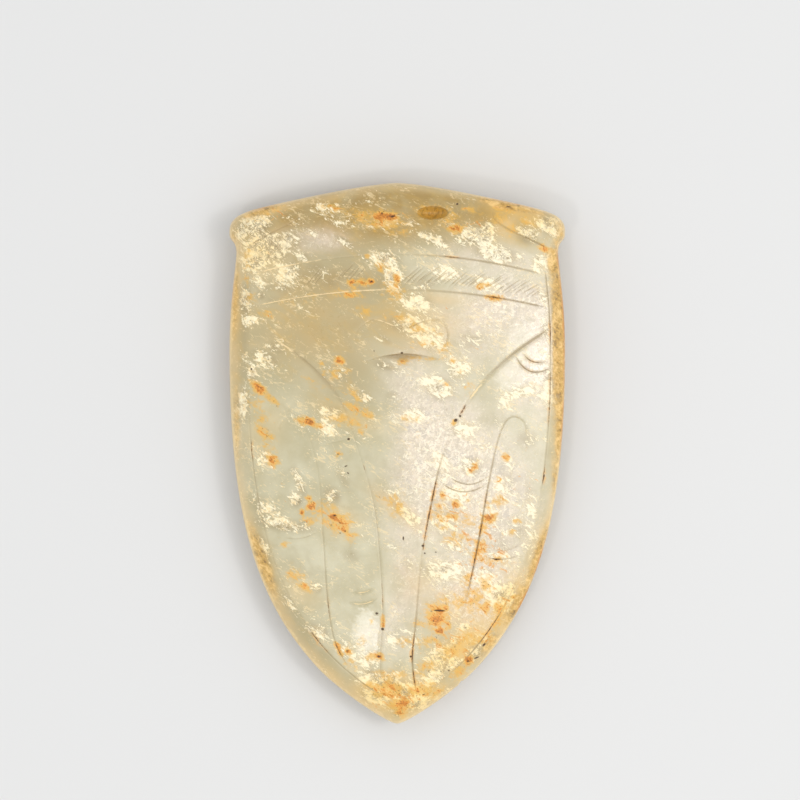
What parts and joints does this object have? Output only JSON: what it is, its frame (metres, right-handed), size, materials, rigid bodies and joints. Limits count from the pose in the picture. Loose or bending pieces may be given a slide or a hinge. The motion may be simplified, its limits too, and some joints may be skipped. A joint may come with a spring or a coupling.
{
  "type": "jade cicada carving",
  "caption": "Flat shield-shaped cicada carved from pale jade, with an engraved collar, thorax and folded wings, bulging eyes and a small oval pit in its brow.",
  "frame": {"origin": "under the middle of the cicada, on the surface that it lies on", "axes": "+Y towards the head, +Z out of the engraved back, +X to the right seen from above with the head away"},
  "size_m": [0.036, 0.058, 0.0085],
  "materials": {
    "jade": "worn polish, translucent, with chalky and russet burial stains"
  },
  "bodies": {
    "root": {"jade_cicada": "jade"}
  },
  "joints": []
}
